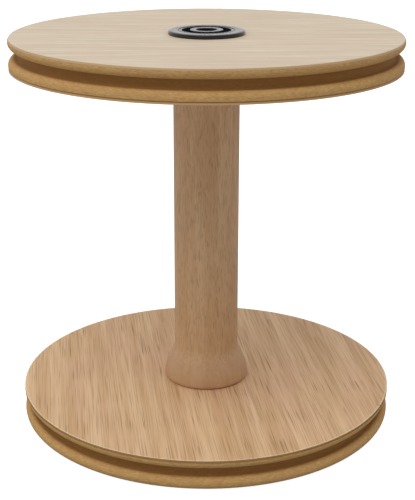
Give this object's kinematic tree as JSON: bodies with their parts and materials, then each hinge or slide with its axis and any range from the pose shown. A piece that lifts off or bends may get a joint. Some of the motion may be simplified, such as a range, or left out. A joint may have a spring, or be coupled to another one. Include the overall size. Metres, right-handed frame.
{
  "type": "spinning wheel bobbin",
  "caption": "Large wooden spinning-wheel bobbin: grooved round end boards, a turned barrel with bell feet and a flanged ball bearing in each end for a plain shaft.",
  "frame": {"origin": "on the spin axis, at the outer face of the lower bearing's inner ring, which is the lowest face", "axes": "+Z along the spin axis from the lower board to the upper board; X and Y are any two directions across it"},
  "size_m": [0.1524, 0.1524, 0.1588],
  "materials": {
    "pale_veneer": "sanded pale birch veneer, near plain",
    "open_grain_veneer": "sanded open-pored veneer with short dark pores",
    "fibreboard": "bare cut fibreboard edge",
    "barrel_wood": "turned and sanded hardwood, bare or thinly oiled",
    "black_cup": "smooth black moulding",
    "black_ring": "black-oxide bearing steel",
    "seal_rubber": "matte black moulded rubber",
    "cage_nylon": "moulded nylon",
    "ball_steel": "polished bearing balls"
  },
  "bodies": {
    "bobbin": {"barrel": "barrel_wood", "lower_outer_veneer": "pale_veneer", "lower_board_core": "fibreboard", "lower_inner_veneer": "open_grain_veneer", "lower_bearing_cup": "black_cup", "lower_outer_ring": "black_ring", "lower_outer_seal": "seal_rubber", "lower_inner_seal": "seal_rubber", "upper_outer_veneer": "pale_veneer", "upper_board_core": "fibreboard", "upper_inner_veneer": "open_grain_veneer", "upper_bearing_cup": "black_cup", "upper_outer_ring": "black_ring", "upper_outer_seal": "seal_rubber", "upper_inner_seal": "seal_rubber"},
    "lower_inner_ring": {"lower_inner_ring": "black_ring"},
    "lower_ball_cage": {"lower_ball_cage": "cage_nylon", "lower_balls": "ball_steel"},
    "upper_inner_ring": {"upper_inner_ring": "black_ring"},
    "upper_ball_cage": {"upper_ball_cage": "cage_nylon", "upper_balls": "ball_steel"}
  },
  "joints": [
    {"name": "lower_ring_spin", "type": "hinge", "parent": "bobbin", "child": "lower_inner_ring", "pos_m": [0, 0, 0.00365], "axis": [0, 0, 1], "continuous": true},
    {"name": "lower_cage_orbit", "type": "hinge", "parent": "bobbin", "child": "lower_ball_cage", "pos_m": [0, 0, 0.00365], "axis": [0, 0, 1], "continuous": true},
    {"name": "upper_ring_spin", "type": "hinge", "parent": "bobbin", "child": "upper_inner_ring", "pos_m": [0, 0, 0.15515], "axis": [0, 0, 1], "continuous": true},
    {"name": "upper_cage_orbit", "type": "hinge", "parent": "bobbin", "child": "upper_ball_cage", "pos_m": [0, 0, 0.15515], "axis": [0, 0, 1], "continuous": true}
  ],
  "couplings": [
    {"joint": "lower_cage_orbit", "follows": "lower_ring_spin", "ratio": 0.3677},
    {"joint": "upper_cage_orbit", "follows": "upper_ring_spin", "ratio": 0.3677}
  ]
}
